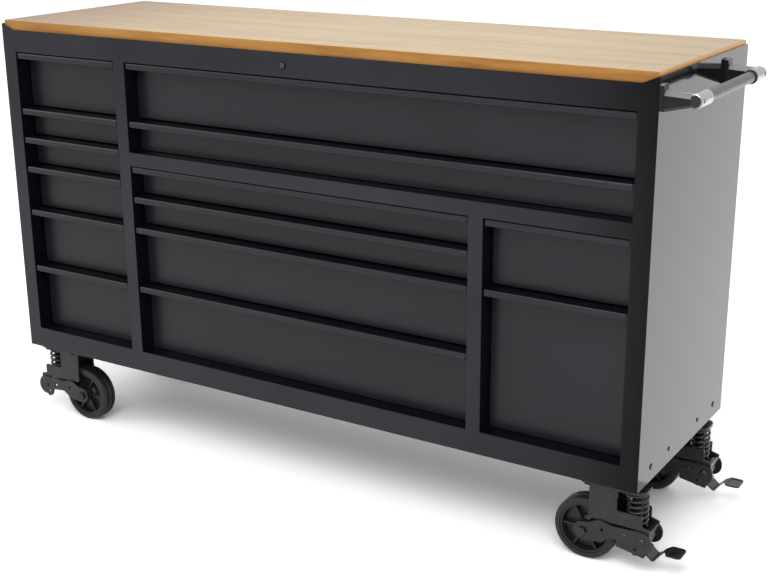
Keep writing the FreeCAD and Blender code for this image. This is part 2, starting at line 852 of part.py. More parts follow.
def yoke_plate_outline(top):
    """Side plate of a yoke: leg, foot and pivot lug."""
    lug_in = pivot_out - lug_radius
    lug_out = pivot_out + lug_radius
    lug_bottom = pivot_z - lug_radius
    lug_round = lug_radius - 0.01
    shoulder = yoke_foot_bottom + plate_round
    return [
        (yoke_leg_in, top), (yoke_leg_in, yoke_leg_foot_z, yoke_leg_round), (yoke_leg_out, yoke_foot_bottom),
        (lug_in, yoke_foot_bottom, plate_round), (lug_in, lug_bottom, lug_round), (lug_out, lug_bottom, lug_round),
        (lug_out, shoulder, lug_shoulder_round), (yoke_foot_out, shoulder + yoke_foot_top_round, plate_round),
        (yoke_foot_out, yoke_foot_top, yoke_foot_top_round), (yoke_leg_out, yoke_foot_top, lug_shoulder_round),
        (yoke_leg_out, top),
    ]


def yoke_body(top):
    """Two side plates joined by the spring plate with its bump stop, the pivot tube and the droop stop."""
    plates = both_sides(yoke_plate_outline(top), yoke_inner_half, yoke_plate)
    reach = spring_out + yoke_inner_half - 1.0
    spring_plate = extrude([(yoke_leg_in, -yoke_outer_half), (reach, -yoke_outer_half, spring_plate_round),
                            (reach, yoke_outer_half, spring_plate_round), (yoke_leg_in, yoke_outer_half)],
                           "z", spring_top_z, yoke_top_z)
    bump_stop = rod("z", (spring_out, 0), bump_stop_radius, seat_z + bump_stop_clearance, spring_top_z)
    tube = rod("y", (pivot_out, pivot_z), pivot_tube_radius, -yoke_inner_half, yoke_inner_half)
    droop_stop = box((pivot_out + droop_stop_out, pivot_out + lug_radius - 1.0), (-yoke_inner_half, yoke_inner_half),
                     (seat_z + slide_gap, yoke_foot_bottom - 1.0))
    body = fuse(plates[0], plates[1], spring_plate, bump_stop, tube, droop_stop)
    bore = rod("y", (pivot_out, pivot_z), pivot_pin_radius + running_fit, -yoke_outer_half, yoke_outer_half)
    return cut(body, bore)


def mount_plate():
    """Square plate with four bolt holes."""
    half = mount_plate_size / 2
    near = mount_centre_out - half
    far = mount_centre_out + half
    plate = extrude([(near, -half, mount_plate_round), (far, -half, mount_plate_round),
                     (far, half, mount_plate_round), (near, half, mount_plate_round)],
                    "z", mount_plate_bottom, carcass_bottom)
    bolt = mount_bolt_spacing / 2
    holes = [rod("z", (mount_centre_out + dx, dy), mount_hole_radius, mount_plate_bottom, carcass_bottom)
             for dx in (-bolt, bolt) for dy in (-bolt, bolt)]
    return cut(plate, *holes)


def rigid_yoke():
    """Fixed yoke: its side plates run up to the mounting plate."""
    return fuse(mount_plate(), yoke_body(mount_plate_bottom))


def swivel_plate():
    """Mounting plate with the upper ball race and the kingpin that holds the swivelling yoke."""
    centre = (mount_centre_out, 0)
    race_bottom = yoke_top_z + slide_gap
    head_top = spring_top_z - slide_gap
    head_bottom = head_top - kingpin_head_height
    race = cut(rod("z", centre, race_radius, race_bottom, mount_plate_bottom),
               rod("z", centre, race_bore, race_bottom, mount_plate_bottom))
    pin = rod("z", centre, kingpin_radius, head_bottom, mount_plate_bottom)
    head = rod("z", centre, kingpin_head_radius, head_bottom, head_top)
    return fuse(mount_plate(), race, pin, head)


def swivel_yoke():
    """Swivelling yoke, bored for the kingpin."""
    bore = rod("z", (mount_centre_out, 0), kingpin_radius + running_fit, spring_top_z, yoke_top_z)
    return cut(yoke_body(yoke_top_z), bore)


def arm_outline():
    """Side of the swinging arm: hub end, crown, brake boss, pivot disc and lower ear."""
    hub_round = arm_hub_radius - 1.0
    pivot_round = arm_pivot_radius - 0.01
    pivot_end = pivot_out + arm_pivot_radius
    return [
        (-arm_hub_radius, wheel_radius + arm_hub_radius, hub_round), (*arm_shoulder, arm_bend),
        (*arm_crown, arm_bend), (*arm_saddle, arm_long_bend), (*arm_brow, arm_bend),
        (pivot_end, pivot_z + arm_pivot_radius, pivot_round), (pivot_end, pivot_z - arm_pivot_radius, pivot_round),
        (*arm_heel, arm_small_bend), (*arm_ear_outer, 2 * arm_small_bend), (*arm_ear_inner, arm_small_bend),
        (*arm_waist_outer, arm_small_bend), (*arm_waist_inner, arm_bend), (*arm_belly, arm_bend),
        (*arm_chin, arm_bend), (-arm_hub_radius, wheel_radius - arm_hub_radius, hub_round),
    ]


def caster_arm():
    """Swinging arm: two cheeks, the spring seat between them and a down-turned flange."""
    cheeks = both_sides(arm_outline(), arm_inner_half, arm_plate)
    seat_bottom = seat_z - seat_thickness
    tongue_half = yoke_inner_half - seat_tongue_gap
    wide = box(wide_seat, (-arm_inner_half, arm_inner_half), (seat_bottom, seat_z))
    tongue = box((seat_in, pivot_out + lug_radius - 1.0), (-tongue_half, tongue_half), (seat_bottom, seat_z))
    flange_half = pedal_outer_half - pedal_plate - 1.0
    flange = box((seat_in, seat_in + arm_plate), (-flange_half, flange_half), (seat_z - seat_flange_drop, seat_z))
    body = fuse(cheeks[0], cheeks[1], wide, tongue, flange)
    holes = (
        ((0, wheel_radius), axle_radius + running_fit),
        ((pivot_out, pivot_z), pivot_pin_radius + running_fit),
        (brake_pin, brake_pin_radius + running_fit),
        (arm_front_hole, arm_hole_radius),
        (arm_ear_hole, arm_hole_radius),
    )
    return cut(body, *[rod("y", centre, radius, -arm_outer_half, arm_outer_half) for centre, radius in holes])


def hexagon(centre_out, centre_z, across_flats, start, end):
    """Hexagonal head or nut on an axle along Y."""
    radius = across_flats / math.sqrt(3)
    corners = [(centre_out + radius * math.cos(math.radians(60 * i)),
                centre_z + radius * math.sin(math.radians(60 * i))) for i in range(6)]
    return extrude(corners, "y", start, end)


def riveted_pin(centre, radius, head_radius, head_height):
    """Pin through both cheeks with a domed head on each side."""
    reach = arm_outer_half
    shaft = rod("y", centre, radius, -reach, reach)
    heads = []
    for start, end in ((-reach - head_height, -reach), (reach, reach + head_height)):
        head = rod("y", centre, head_radius, start, end)
        outer = start if start < 0 else end
        edges = [e for e in head.Edges if abs(e.BoundBox.YMin - outer) < 0.1 and e.BoundBox.YLength < 0.1]
        heads.append(head.makeChamfer(head_height * 0.6, edges))
    return fuse(shaft, *heads)


def caster_pins(braked):
    """Wheel axle bolt with its nut and sleeves, pivot pin and, on a braked caster, the brake rivet."""
    reach = arm_outer_half
    boss_face = rim_width / 2 + boss_stand + side_gap
    bore = axle_radius + running_fit
    nut_end = reach + axle_nut_height
    head = hexagon(0, wheel_radius, axle_hexagon, -reach - axle_head_height, -reach)
    shaft = rod("y", (0, wheel_radius), axle_radius, -reach, nut_end + axle_end)
    nut = cut(hexagon(0, wheel_radius, axle_hexagon, reach, nut_end),
              rod("y", (0, wheel_radius), axle_radius, reach, nut_end))
    pins = [fuse(head, shaft), nut,
            riveted_pin((pivot_out, pivot_z), pivot_pin_radius, pin_head_radius, pin_head_height)]
    for start, end in ((boss_face, arm_inner_half), (-arm_inner_half, -boss_face)):
        pins.append(cut(rod("y", (0, wheel_radius), bore + sleeve_wall, start, end),
                        rod("y", (0, wheel_radius), bore, start, end)))
    if braked:
        pins.append(riveted_pin(brake_pin, brake_pin_radius, brake_pin_head_radius, brake_pin_head_height))
    return pins


def biarc(start, start_way, end, end_way):
    """Two arcs that leave start and reach end along the given unit directions."""
    chord = end - start
    both = start_way + end_way
    square = 2 * (start_way.dot(end_way) - 1)
    linear = -2 * chord.dot(both)
    constant = chord.dot(chord)
    reach = (-linear - math.sqrt(linear * linear - 4 * square * constant)) / (2 * square)
    first = start + start_way * reach
    second = end - end_way * reach
    joint = (first + second) * 0.5
    arcs = []
    for a, control, b in ((start, first, joint), (joint, second, end)):
        middle = (a + b) * 0.5
        half_chord = a.distanceToPoint(b) / 2
        height = middle.distanceToPoint(control)
        half_turn = math.atan2(height, half_chord)
        sagitta = half_chord * math.tan(half_turn / 2)
        arcs.append(Part.Arc(a, middle + (control - middle) * (sagitta / height), b).toShape())
    return arcs


def helix_point(angle, pitch):
    """Point and unit direction of a helix about Z, starting at height 0."""
    x = spring_radius * math.cos(angle)
    y = spring_radius * math.sin(angle)
    point = V(x, y, pitch * angle / (2 * math.pi))
    way = V(-y, x, pitch / (2 * math.pi)).normalize()
    return point, way


def least_gap_to_itself(pitch):
    """Least distance between the wire's surface and its next turns, on points along its middle line."""
    steps = 72
    last = int(spring_turns * steps)
    points = [helix_point(2 * math.pi * i / steps, pitch)[0] for i in range(last + 1)]
    least = min(points[i].distanceToPoint(points[j])
                for i in range(0, last + 1, 3) for j in range(i + steps // 2, min(last + 1, i + 2 * steps)))
    return least - 2 * spring_wire_radius


def caster_spring():
    """Compression spring as one unbroken round wire between the seat and the yoke."""
    low = seat_z + spring_end_gap + spring_wire_radius
    high = spring_top_z - spring_end_gap - spring_wire_radius
    pitch = (high - low) / spring_turns
    arcs = []
    for i in range(int(round(spring_turns * 2))):
        start, start_way = helix_point(math.pi * i, pitch)
        end, end_way = helix_point(math.pi * (i + 1), pitch)
        arcs += biarc(start, start_way, end, end_way)
    start, start_way = helix_point(0, pitch)
    section = Part.Wire(Part.makeCircle(spring_wire_radius, start, start_way))
    wire = Part.Wire(arcs).makePipeShell([section], True, False)
    print("spring: pitch %.2f mm, least gap to itself %.2f mm" % (pitch, least_gap_to_itself(pitch)))
    wire.translate(V(spring_out, 0, low))
    return wire


def sloped_plate():
    """Bent plate of apron, neck and tread, as wide as the tread throughout."""
    top_out, top_z = pedal_apron_top
    valley_out, valley_z = pedal_valley
    slant = pedal_plate * math.sqrt(2)
    outline = [
        (top_out, top_z), (valley_out, valley_z, plate_round), (tread_start, tread_z, plate_round),
        (tread_end, tread_z), (tread_end, tread_z - pedal_plate),
        (tread_start + plate_round / 2, tread_z - pedal_plate, plate_round),
        (valley_out, valley_z - slant, plate_round + pedal_plate), (top_out - 1.0, top_z - slant),
    ]
    return extrude(outline, "y", -tread_half, tread_half)


def tread_outline(apron_half):
    """Upright column with the outline of apron, neck and tread seen from above."""
    top_out = pedal_apron_top[0] - 1.0
    right = [
        (top_out, -apron_half), (apron_end, -apron_half), (neck_from, -neck_half, plate_round),
        (tread_start, -neck_half, plate_round), (tread_wide_from, -tread_half, tread_round / 2),
        (tread_end, -tread_half, tread_round),
    ]
    left = [(corner[0], -corner[1], *corner[2:]) for corner in reversed(right)]
    return extrude(right + left, "z", 0, pivot_z)


def brake_pedal():
    """Bent pedal: two cheeks on the brake rivet, a shoe facing the tyre and a sloping apron with a foot tread."""
    outer = pedal_outer_half
    inner = outer - pedal_plate
    pin_out, pin_z = brake_pin
    boss_round = pedal_boss - 0.1
    outline = [
        (*pedal_shoe_foot, 1.0), (*pedal_keel, pedal_bend), (*pedal_toe, plate_round), (*pedal_nose, plate_round),
        (*pedal_brow, plate_round), (*pedal_collar, pedal_bend),
        (pin_out + pedal_boss, pin_z + pedal_boss, boss_round), (pin_out - pedal_boss, pin_z + pedal_boss, boss_round),
        (pin_out - pedal_boss, pin_z - pedal_boss, plate_round), (*pedal_shoe_top, 1.0),
    ]
    cheeks = both_sides(outline, inner, pedal_plate)
    shoe = box((pedal_shoe_foot[0], pedal_shoe_foot[0] + pedal_plate), (-inner, inner),
               (pedal_shoe_foot[1], pedal_shoe_top[1]))
    bent = sloped_plate().common(tread_outline(inner))
    inset = tread_half - tread_rim
    dish = extrude([(tread_wide_from + 1.0, -inset, tread_rim), (tread_end - tread_rim, -inset, tread_rim),
                    (tread_end - tread_rim, inset, tread_rim), (tread_wide_from + 1.0, inset, tread_rim)],
                   "z", tread_z - tread_dish, tread_z)
    body = fuse(cheeks[0], cheeks[1], shoe, cut(bent, dish))
    holes = [rod("y", brake_pin, brake_pin_radius + running_fit, -outer, outer),
             rod("y", pedal_hole, pedal_hole_radius, -outer, outer)]
    return cut(body, *holes)


def place_caster(solid, end, centre_y):
    """Move a caster piece to its corner; end is -1 on the left and 1 on the right."""
    placed = solid.copy() if end > 0 else solid.mirror(V(0, 0, 0), V(1, 0, 0))
    centre_x = wheel_centre_right if end > 0 else -wheel_centre_left
    placed.translate(V(centre_x, centre_y, 0))
    return placed


def casters():
    """Rigid sprung casters on the left, swivelling braked ones on the right."""
    rows = (("front", caster_front_y), ("rear", caster_rear_y))
    tyre, hub, arm, spring = caster_tyre(), caster_hub(), caster_arm(), caster_spring()
    save("rigid_yokes", *[place_caster(rigid_yoke(), -1, y) for _, y in rows])
    save("swivel_plates", *[place_caster(swivel_plate(), 1, y) for _, y in rows])
    for side, end in (("left", -1), ("right", 1)):
        pins = caster_pins(braked=end > 0)
        for row, y in rows:
            corner = f"{row}_{side}"
            save(f"caster_tyre_{corner}", place_caster(tyre, end, y))
            save(f"caster_hub_{corner}", place_caster(hub, end, y))
            save(f"caster_arm_{corner}", place_caster(arm, end, y))
            save(f"caster_spring_{corner}", place_caster(spring, end, y))
            save(f"caster_pins_{corner}", *[place_caster(pin, end, y) for pin in pins])
            if end > 0:
                save(f"swivel_yoke_{corner}", place_caster(swivel_yoke(), end, y))
                save(f"brake_pedal_{corner}", place_caster(brake_pedal(), end, y))


def hexagon_upright(x, y, start, end):
    """Hexagonal head or nut on a bolt along Z."""
    corners = [(x + bolt_head_radius * math.cos(math.radians(60 * i)),
                y + bolt_head_radius * math.sin(math.radians(60 * i))) for i in range(6)]
    return extrude(corners, "z", start, end)


def caster_bolts():
    """Sixteen bolts with their nuts inside the floor channels."""
    bolts = []
    for x, y in mount_bolt_places():
        nut_seat = carcass_bottom + (sheet if bolt_is_under_frame((x, y)) else 2 * sheet)
        head = hexagon_upright(x, y, mount_plate_bottom - bolt_head_height, mount_plate_bottom)
        shank = rod("z", (x, y), mount_bolt_radius, mount_plate_bottom, nut_seat + bolt_nut_height + bolt_end)
        nut = hexagon_upright(x, y, nut_seat, nut_seat + bolt_nut_height)
        bolts.append(fuse(head, shank, nut))
    return bolts


def main():
    os.makedirs(PARTS, exist_ok=True)
    save("side_panel_left", side_panel(-1))
    save("side_panel_right", side_panel(1))
    save("front_frame", front_frame())
    save("back_panel", back_panel())
    save("top_deck", top_deck())
    save("floor_pan", floor_pan())
    save("dividers", divider(left_opening[1], wide_opening[0], deck_bottom),
         divider(centre_opening[1], right_opening[0], shelf_bottom))
    save("mid_shelf", mid_shelf())
    save("slide_posts", *slide_posts())
    save("worktop", worktop())
    rails = []
    for name, opening, slot in drawer_stacks():
        save(name, *drawer(opening, slot))
        level = slide_level(slot)
        rails += [outer_slide(opening[0], 1, level), outer_slide(opening[1], -1, level)]
    save("slide_rails", *rails)
    save("lock_housing", lock_housing())
    save("lock_cylinder", lock_cylinder())
    handle()
    save("side_screws", *side_screw_heads())
    save("caster_bolts", *caster_bolts())
    casters()


main()
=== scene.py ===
import json
import math

import bpy
from mathutils import Matrix, Vector


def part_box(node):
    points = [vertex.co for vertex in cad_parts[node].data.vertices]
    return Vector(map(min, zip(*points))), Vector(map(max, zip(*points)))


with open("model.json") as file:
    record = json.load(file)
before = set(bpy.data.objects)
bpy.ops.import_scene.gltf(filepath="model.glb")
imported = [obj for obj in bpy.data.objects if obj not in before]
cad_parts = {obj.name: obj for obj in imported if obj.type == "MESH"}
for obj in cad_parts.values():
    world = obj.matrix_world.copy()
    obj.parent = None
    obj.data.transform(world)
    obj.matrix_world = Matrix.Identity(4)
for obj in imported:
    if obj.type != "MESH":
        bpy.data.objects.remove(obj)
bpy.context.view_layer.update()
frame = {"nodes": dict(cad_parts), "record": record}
nodes = frame["nodes"]


# Places on the cabinet, in metres

# Stretches along the cabinet over which painted shade makes the front frame go dark and dull towards its right
# end
FRAME_DARKENS = (0.25, 0.74)
FRAME_DULLS = (0.55, 0.74)

# Stretches along the board: painted shade on its top lifts from the left end and deepens to the right; its
# edge deepens
BOARD_LEFT_PAINTED_SHADE = (-0.80, -0.05)
BOARD_RIGHT_PAINTED_SHADE = (0.40, 0.76)
EDGE_DEEPENS = (0.0, 0.78)

# Depths over which the faces turned aside come out of the shadow: behind the pull lips, and behind everything
LIP_SHADOW = (-0.196, -0.192)
WHOLE_SHADOW = (0.30, 0.31)

# Width of the board's staves, and how far each one's grain is shifted at most
STAVE_WIDTH = 0.046
STAVE_SHIFT = 3.0

# Added to a stave's place to draw its tone apart from its shift
STAVE_TONE_SEED = 7.3


# Shares of a normal along one axis, over which a face starts to count as turned that way

FACES_ASIDE = (-0.75, -0.45)
FACES_UP = (0.35, 0.75)
FACES_DOWN = (-0.75, -0.35)
FACES_FORWARD = (-0.96, -0.90)
BOARD_FACES_UP = (0.55, 0.75)
BOARD_FACES_RIGHT = (0.50, 0.75)


# Range that most values of a noise lie in

NOISE_SPREAD = (0.3, 0.7)


# Colours

BLACK = (0, 0, 0)
WHITE = (1, 1, 1)
SHADOW = (0.0056, 0.0046, 0.0070)
SHADOW_SHINE = (0.05, 0.05, 0.05)
# Near black for faces turned to the front
FRONT_FACE_BLACK = (0.055, 0.055, 0.06)
# Painted sheen on the upper and lower facets of black castings
PAINTED_PALE_SHEEN = (0.26, 0.26, 0.27)
PAINTED_DIM_SHEEN = (0.075, 0.075, 0.08)
END_GRAIN = (0.78, 0.37, 0.11)
KNOT_BROWN = (0.25, 0.085, 0.020)

# Tones of the painted shade on the board's top, from its left end, where it is deepest, to where its own
# colour shows
LEFT_END_PAINTED_SHADE = (
    (0.0, (0.53, 0.38, 0.22)),
    (0.12, (0.63, 0.51, 0.38)),
    (0.30, (0.74, 0.67, 0.57)),
    (0.45, (0.86, 0.80, 0.73)),
    (0.70, (0.95, 0.92, 0.89)),
    (1.0, WHITE),
)


def grey(level):
    """Neutral colour of a level."""
    return (level, level, level)


def shares_of(level, red, green, blue):
    """Colour from a level and the share of it in red, green and blue."""
    return (level * red, level * green, level * blue)


def dimmed(colour, share):
    """Colour with the same share of its red, green and blue."""
    return tuple(part * share for part in colour)


# Nodes

# Sockets of a colour mix
MIX_FACTOR = 0
MIX_FIRST = 6
MIX_SECOND = 7
MIX_RESULT = 2


class NodeTree:
    """Nodes of a material or of the surroundings, with short calls for the usual ones."""

    def __init__(self, tree):
        self.tree = tree

    def node(self, kind, **settings):
        """Adds a node; plain settings go to its properties."""
        made = self.tree.nodes.new(kind)
        for key, value in settings.items():
            setattr(made, key, value)
        return made

    def link(self, source, target):
        """Joins an output to an input."""
        self.tree.links.new(source, target)

    def feed(self, socket, value):
        """Gives an input an output, a colour or a number."""
        if isinstance(value, bpy.types.NodeSocket):
            self.link(value, socket)
        elif isinstance(value, tuple):
            socket.default_value = (*value, 1)
        else:
            socket.default_value = value

    def calculate(self, operation, *values):
        """Result of an operation on outputs and numbers."""
        made = self.node("ShaderNodeMath", operation=operation)
        for socket, value in zip(made.inputs, values):
            self.feed(socket, value)
        return made.outputs["Value"]

    def mix(self, factor, first, second, blend="MIX"):
        """Mix of two colours; each value is an output or a plain one."""
        made = self.node("ShaderNodeMix", data_type="RGBA", blend_type=blend)
        self.feed(made.inputs[MIX_FACTOR], factor)
        self.feed(made.inputs[MIX_FIRST], first)
        self.feed(made.inputs[MIX_SECOND], second)
        return made.outputs[MIX_RESULT]

    def tinted(self, colour, tone):
        """A colour multiplied by another one."""
        return self.mix(1.0, colour, tone, "MULTIPLY")


class Look(NodeTree):
    """One procedural material under construction."""

    def __init__(self, name):
        self.material = bpy.data.materials.new(name)
        self.material.use_nodes = True
        super().__init__(self.material.node_tree)
        self.shader = self.tree.nodes["Principled BSDF"]

    def object_place(self):
        """Place in the object, in metres."""
        return self.node("ShaderNodeTexCoord").outputs["Object"]

    def coordinate(self, source, letter):
        """One coordinate of a place or of a normal."""
        split = self.node("ShaderNodeSeparateXYZ")
        self.link(source, split.inputs["Vector"])
        return split.outputs[letter]

    def place_along(self, letter):
        """Coordinate of the place in the object."""
        return self.coordinate(self.object_place(), letter)

    def normal_along(self, letter):
        """Share of the face's normal along one axis."""
        return self.coordinate(self.node("ShaderNodeNewGeometry").outputs["Normal"], letter)

    def stretched(self, stretch, place=None):
        """Place in the object, or another place, stretched along each axis."""
        mapping = self.node("ShaderNodeMapping")
        mapping.inputs["Scale"].default_value = stretch
        if place is None:
            place = self.object_place()
        self.link(place, mapping.inputs["Vector"])
        return mapping.outputs["Vector"]

    def noise(self, scale, detail=4.0, rough=0.5, distortion=0.0, stretch=(1, 1, 1), place=None):
        """Noise value of the given scale."""
        made = self.node("ShaderNodeTexNoise")
        made.inputs["Scale"].default_value = scale
        made.inputs["Detail"].default_value = detail
        made.inputs["Roughness"].default_value = rough
        made.inputs["Distortion"].default_value = distortion
        self.link(self.stretched(stretch, place), made.inputs["Vector"])
        return made.outputs["Fac"]

    def chance(self, seed):
        """The same chance value wherever the seed is the same."""
        made = self.node("ShaderNodeTexWhiteNoise", noise_dimensions="1D")
        self.link(seed, made.inputs["W"])
        return made.outputs["Value"]

    def ramp(self, value, *stops):
        """Colour ramp over a value; each stop is (place, colour)."""
        made = self.node("ShaderNodeValToRGB")
        ramp = made.color_ramp
        while len(ramp.elements) < len(stops):
            ramp.elements.new(0.5)
        for element, (place, colour) in zip(ramp.elements, stops):
            element.position = place
            element.color = (*colour, 1)
        self.link(value, made.inputs["Fac"])
        return made.outputs["Color"]

    def span(self, value, source, result=(0.0, 1.0)):
        """Value moved from one range to another, and held at its ends."""
        made = self.node("ShaderNodeMapRange")
        made.inputs["From Min"].default_value, made.inputs["From Max"].default_value = source
        made.inputs["To Min"].default_value, made.inputs["To Max"].default_value = result
        self.link(value, made.inputs["Value"])
        return made.outputs["Result"]

    def grey_of(self, value):
        """A value or a number as a grey colour."""
        made = self.node("ShaderNodeCombineColor")
        for socket in made.inputs:
            self.feed(socket, value)
        return made.outputs["Color"]

    def bump(self, *layers):
        """Bump from (height, strength, distance) layers, coarse first."""
        before = None
        for height, strength, distance in layers:
            made = self.node("ShaderNodeBump")
            made.inputs["Strength"].default_value = strength
            made.inputs["Distance"].default_value = distance
            self.link(height, made.inputs["Height"])
            if before is not None:
                self.link(before, made.inputs["Normal"])
            before = made.outputs["Normal"]
        self.link(before, self.shader.inputs["Normal"])

    def set(self, **values):
        """Feeds sockets of the shader; names use _ for a space."""
        for key, value in values.items():
            self.feed(self.shader.inputs[key.replace("_", " ")], value)


# Enamel and castings

ENAMEL_SHINE = 0.5
# Shine of the frame where its painted shade towards the right end starts and ends
FRAME_END_SHINE = (0.44, 0.20)


def painted_shade_to_right(look, base, share):
    """Colour and shine of enamel under painted shade that keeps a share of its colour at the right end."""
    along = look.place_along("X")
    middle = (1 + share) / 2
    frame_shade = look.ramp(look.span(along, FRAME_DARKENS), (0.0, WHITE), (0.7, grey(middle)), (1.0, grey(share)))
    return look.tinted(base, frame_shade), look.span(along, FRAME_DULLS, FRAME_END_SHINE)


def shaded_aside(look, base, shine, depths):
    """Colour and shine with the faces turned aside almost black, as far back as the depths say."""
    aside = look.span(look.normal_along("Y"), FACES_ASIDE)
    near_front = look.span(look.place_along("Y"), depths, (1.0, 0.0))
    dark = look.calculate("MULTIPLY", aside, near_front)
    return look.mix(dark, base, SHADOW), look.mix(dark, look.grey_of(shine), SHADOW_SHINE)


def painted_black(name, level, gloss, peel, ior=1.42, right_share=1.0, shadow=None):
    """Black enamel with orange peel, fine dust and an uneven shine; it can carry painted shade towards the
    right.

    shadow is the range of depths over which its faces turned aside come out of the shadow.
    """
    look = Look(name)
    cloud = look.noise(5.0, detail=3.0)
    dust = look.noise(900.0, detail=2.0, rough=0.7)
    dull = shares_of(level, 0.86, 0.80, 1.15)
    bright = shares_of(level, 1.2, 1.12, 1.55)
    base = look.ramp(cloud, (0.3, dull), (0.7, bright))
    speck = look.ramp(dust, (0.72, BLACK), (0.80, WHITE))
    base = look.mix(speck, base, shares_of(level, 3, 3, 3.2))
    shine = ENAMEL_SHINE
    # painted shade: the enamel darkens and dulls towards the right end
    if right_share < 1.0:
        base, shine = painted_shade_to_right(look, base, right_share)
    if shadow:
        base, shine = shaded_aside(look, base, shine, shadow)
    look.set(Base_Color=base, Specular_IOR_Level=shine, IOR=ior)
    look.set(Roughness=look.span(cloud, (0.1, 0.9), (gloss * 0.9, gloss * 1.12)))
    coarse = look.noise(180.0, detail=2.0)
    fine = look.noise(1400.0, detail=1.0)
    look.bump((coarse, peel * 0.06, 0.0006), (fine, peel * 0.04, 0.0002))
    return look.material


def cast_surface(look):
    """Grain of a coated casting; gives the clouds that its colour follows."""
    cloud = look.noise(30.0)
    grain = look.noise(1100.0, detail=3.0, rough=0.6)
    look.bump((cloud, 0.05, 0.001), (grain, 0.12, 0.0003))
    return cloud


def cast_black(name, level, gloss):
    """Black coated casting or pressing with a fine grained surface and rubbed high spots."""
    look = Look(name)
    cloud = cast_surface(look)
    coat = shares_of(level, 1, 1, 1.1)
    rubbed = shares_of(level, 2.0, 2.0, 2.1)
    look.set(Base_Color=look.ramp(cloud, (0.3, coat), (0.75, rubbed)), IOR=1.5)
    look.set(Roughness=look.span(cloud, NOISE_SPREAD, (gloss * 0.8, gloss * 1.3)))
    return look.material


def black_with_painted_sheen(name):
    """Black casting with a pale painted sheen on its upper facets and a dim painted sheen on its lower facets.
    """
    look = Look(name)
    cloud = cast_surface(look)
    rise = look.normal_along("Z")
    base = look.ramp(cloud, (0.3, (0.006, 0.006, 0.007)), (0.75, (0.010, 0.010, 0.011)))
    # painted sheen: upper facets pale, lower facets dimly grey
    base = look.mix(look.span(rise, FACES_UP), base, PAINTED_PALE_SHEEN)
    base = look.mix(look.span(rise, FACES_DOWN, (1.0, 0.0)), base, PAINTED_DIM_SHEEN)
    look.set(Base_Color=base, Roughness=look.span(cloud, NOISE_SPREAD, (0.28, 0.42)), IOR=1.35)
    return look.material


# Bare metal, rubber and plastic

DRAWN_LENGTHWAYS = (6, 1, 6)


def bare_metal(name, tint, gloss, grain=(1, 1, 1), dark_ends=False):
    """Plated or cast metal with small stains and a grain, even or drawn; its faces turned to the front can be
    made near black.
    """
    look = Look(name)
    drawn = look.noise(700.0, detail=3.0, rough=0.6, stretch=grain)
    cloud = look.noise(40.0, detail=3.0)
    base = look.ramp(cloud, (0.3, dimmed(tint, 0.82)), (0.7, tint))
    if dark_ends:
        # faces turned to the front made near black
        base = look.mix(look.span(look.normal_along("Y"), FACES_FORWARD, (1.0, 0.0)), base, FRONT_FACE_BLACK)
    look.set(Base_Color=base, Metallic=1.0)
    look.set(Roughness=look.span(drawn, NOISE_SPREAD, (gloss * 0.75, gloss * 1.3)))
    look.bump((drawn, 0.06, 0.0002))
    return look.material


def tyre_rubber(name):
    """Dull black rubber with a mould grain and scuffs on the tread."""
    look = Look(name)
    scuff = look.noise(90.0, detail=5.0, rough=0.65)
    grain = look.noise(1500.0, detail=2.0)
    clean, worn, scuffed = (0.010, 0.010, 0.011), (0.018, 0.018, 0.019), (0.040, 0.039, 0.038)
    look.set(Base_Color=look.ramp(scuff, (0.35, clean), (0.62, worn), (0.80, scuffed)), IOR=1.48)
    look.set(Roughness=look.span(scuff, NOISE_SPREAD, (0.42, 0.65)))
    look.bump((scuff, 0.10, 0.0006), (grain, 0.10, 0.0002))
    return look.material


def moulded_plastic(name, colour, gloss):
    """Moulded plastic with a fine spark-eroded grain."""
    look = Look(name)
    grain = look.noise(1200.0, detail=2.0)
    cloud = look.noise(25.0, detail=3.0)
    look.set(Base_Color=look.ramp(cloud, (0.3, dimmed(colour, 0.85)), (0.7, dimmed(colour, 1.15))), IOR=1.47)
    look.set(Roughness=look.span(grain, NOISE_SPREAD, (gloss * 0.85, gloss * 1.2)))
    look.bump((grain, 0.10, 0.0002))
    return look.material


# Wood


def place_in_staves(look, stave):
    """Place in the board with each stave's grain shifted along it by its own length."""
    run = look.calculate("MULTIPLY_ADD", look.chance(stave), STAVE_SHIFT, look.place_along("X"))
    joined = look.node("ShaderNodeCombineXYZ")
    look.link(run, joined.inputs["X"])
    look.link(look.place_along("Y"), joined.inputs["Y"])
    look.link(look.place_along("Z"), joined.inputs["Z"])
    return joined.outputs["Vector"]


def board_top(look, stave, broad, streak):
    """Colour of the board's top: honey tones, a tone for each stave, and painted shade deepening both ends of
    the board.
    """
    honey = look.ramp(broad, (0.30, (0.560, 0.395, 0.205)), (0.50, (0.630, 0.475, 0.265)),
                      (0.72, (0.690, 0.535, 0.315)))
    seed = look.calculate("ADD", stave, STAVE_TONE_SEED)
    stave_tone = look.ramp(look.chance(seed), (0.0, (0.95, 0.94, 0.92)), (1.0, (1.03, 1.03, 1.02)))
    along = look.place_along("X")
    # painted shade at the left and right ends of the board's top
    left_end_shade = look.ramp(look.span(along, BOARD_LEFT_PAINTED_SHADE), *LEFT_END_PAINTED_SHADE)
    right_end_shade = look.ramp(look.span(along, BOARD_RIGHT_PAINTED_SHADE), (0.0, (0.98, 0.97, 0.97)), (1.0, (0.80, 0.78, 0.76)))
    colour = honey
    for tone in (streak, stave_tone, left_end_shade, right_end_shade):
        colour = look.tinted(colour, tone)
    return colour


def board_knots(look):
    """Strength of the knots on the board's edge."""
    cells = look.node("ShaderNodeTexVoronoi")
    cells.inputs["Scale"].default_value = 1.0
    look.link(look.stretched((5.0, 14.0, 14.0)), cells.inputs["Vector"])
    knot = look.ramp(cells.outputs["Distance"], (0.06, WHITE), (0.16, BLACK))
    return look.tinted(knot, grey(0.55))


